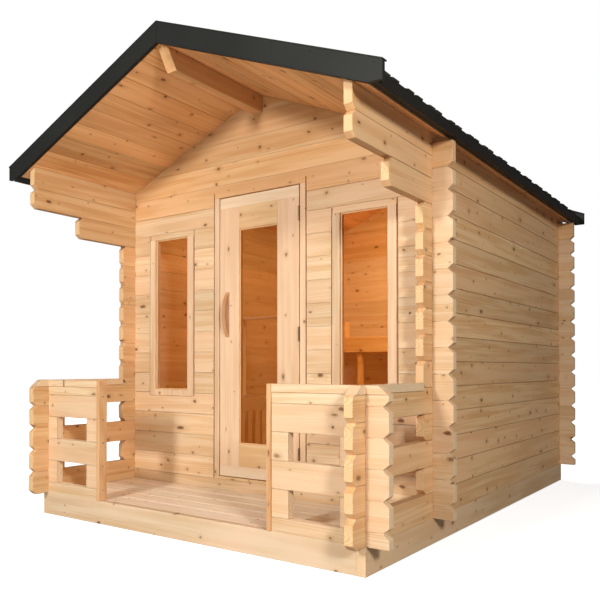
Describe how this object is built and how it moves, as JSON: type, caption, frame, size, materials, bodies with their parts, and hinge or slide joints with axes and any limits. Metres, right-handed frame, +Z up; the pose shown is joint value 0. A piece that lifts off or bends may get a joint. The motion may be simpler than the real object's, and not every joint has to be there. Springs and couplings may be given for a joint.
{
  "type": "outdoor sauna cabin",
  "caption": "Log-built garden sauna cabin with interlocking notched corners, covered railed porch, gable shingle roof and a hinged glazed door.",
  "frame": {"origin": "on the ground under the middle of the roof", "axes": "+X to the right along the front wall seen from the porch, +Y from the porch to the back, +Z up"},
  "size_m": [2.69, 3.7, 2.7993],
  "materials": {
    "log": "oiled softwood logs",
    "frame_wood": "oiled softwood, planed",
    "ceiling": "tongued boards, planed",
    "floor_wood": "planed boards",
    "inside_wood": "planed softwood",
    "handle_wood": "dark bent wood",
    "shingle": "mineral-faced bitumen",
    "trim_metal": "dark painted sheet",
    "hinge_steel": "zinc plated",
    "glass": "clear toughened"
  },
  "bodies": {
    "cabin": {"sill_sides": "log", "sill_crossbeams": "log", "floor_joists": "frame_wood", "porch_floor": "floor_wood", "cabin_floor": "floor_wood", "left_wall": "log", "right_wall": "log", "left_rail_logs": "log", "right_rail_logs": "log", "left_top_logs": "log", "right_top_logs": "log", "front_wall_base": "log", "front_wall_left": "log", "front_wall_right": "log", "front_gable": "log", "back_wall": "log", "back_gable": "log", "left_porch_rail": "log", "right_porch_rail": "log", "rail_caps": "frame_wood", "rail_posts": "frame_wood", "ridge_beam": "frame_wood", "roof_panel_left": "ceiling", "roof_panel_right": "ceiling", "shingles_left": "shingle", "shingles_right": "shingle", "ridge_cap": "shingle", "gable_trims": "trim_metal", "eave_trims": "trim_metal", "door_jambs": "frame_wood", "threshold": "frame_wood", "jamb_hinge_leaves": "hinge_steel", "window_frames": "frame_wood", "window_glass": "glass", "bench_slats": "inside_wood", "bench_frame": "inside_wood", "bench_end_rail": "inside_wood", "heater_guard": "inside_wood"},
    "door": {"door_stiles": "frame_wood", "door_rails": "frame_wood", "door_end_boards": "frame_wood", "door_glass": "glass", "door_handles": "handle_wood", "door_hinge_leaves": "hinge_steel"}
  },
  "joints": [
    {"name": "door_hinge", "type": "hinge", "parent": "cabin", "child": "door", "pos_m": [0.3185, -0.953, 1.145], "axis": [0, 0, 1], "range_deg": [0, 100]}
  ]
}
